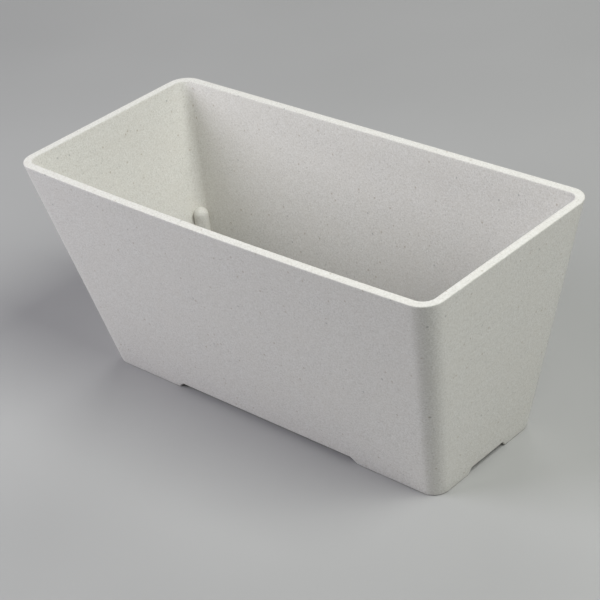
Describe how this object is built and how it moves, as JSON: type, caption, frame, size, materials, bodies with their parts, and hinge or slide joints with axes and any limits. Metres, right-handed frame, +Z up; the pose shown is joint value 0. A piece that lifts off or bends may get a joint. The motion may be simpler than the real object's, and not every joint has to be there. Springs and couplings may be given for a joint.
{
  "type": "self watering planter",
  "caption": "Tapered rectangular tub on corner feet, with a lift-out reservoir platform, wicking baskets, fill tube, float gauge, overflow and drain plug.",
  "frame": {"origin": "centre of the base, on the surface that the feet stand on", "axes": "+X along the length, +Y across to the back wall, +Z up"},
  "size_m": [0.43, 0.1985, 0.197],
  "materials": {
    "tub_resin": "matte ivory stone-filled resin with fine tan and grey speckle",
    "black_rubber": "matte black rubber",
    "grey_pipe": "satin dark grey",
    "platform_plastic": "fine-grained charcoal",
    "basket_plastic": "satin charcoal",
    "pin_steel": "satin steel",
    "clear_plastic": "clear, slightly green",
    "float_orange": "semi-gloss orange",
    "rod_white": "semi-gloss white",
    "tip_red": "gloss red"
  },
  "bodies": {
    "tub_body": {"tub": "tub_resin", "overflow_grommet": "black_rubber", "overflow_pipe": "grey_pipe", "overflow_screen": "grey_pipe"},
    "plug": {"drain_plug": "black_rubber", "plug_gasket": "black_rubber"},
    "platform": {"reservoir_platform": "platform_plastic", "float_cage": "basket_plastic", "gauge_tube": "clear_plastic"},
    "basket_left": {"wicking_basket_left": "basket_plastic"},
    "basket_right": {"wicking_basket_right": "basket_plastic"},
    "filler": {"fill_tube": "platform_plastic", "fill_funnel": "platform_plastic", "lid_hinge_pin": "pin_steel"},
    "filler_lid": {"fill_lid": "platform_plastic"},
    "gauge_top": {"gauge_cap": "platform_plastic"},
    "float": {"float_body": "float_orange", "float_rod": "rod_white", "indicator_tip": "tip_red"}
  },
  "joints": [
    {"name": "plug_pull", "type": "slide", "parent": "tub_body", "child": "plug", "axis": [0, 0, 1], "range_m": [0, 0.025]},
    {"name": "platform_lift", "type": "slide", "parent": "tub_body", "child": "platform", "axis": [0, 0, 1], "range_m": [0, 0.19]},
    {"name": "basket_left_lift", "type": "slide", "parent": "platform", "child": "basket_left", "axis": [0, 0, 1], "range_m": [0, 0.19]},
    {"name": "basket_right_lift", "type": "slide", "parent": "platform", "child": "basket_right", "axis": [0, 0, 1], "range_m": [0, 0.19]},
    {"name": "filler_lift", "type": "slide", "parent": "platform", "child": "filler", "axis": [0, 0, 1], "range_m": [0, 0.155]},
    {"name": "filler_lid_hinge", "type": "hinge", "parent": "filler", "child": "filler_lid", "pos_m": [0.1818, -0.044, 0.1393], "axis": [0, 1, 0], "range_deg": [0, 110]},
    {"name": "gauge_cap_pull", "type": "slide", "parent": "platform", "child": "gauge_top", "axis": [0, 0, 1], "range_m": [0, 0.03]},
    {"name": "float_rise", "type": "slide", "parent": "platform", "child": "float", "axis": [0, 0, 1], "range_m": [0, 0.02]}
  ]
}
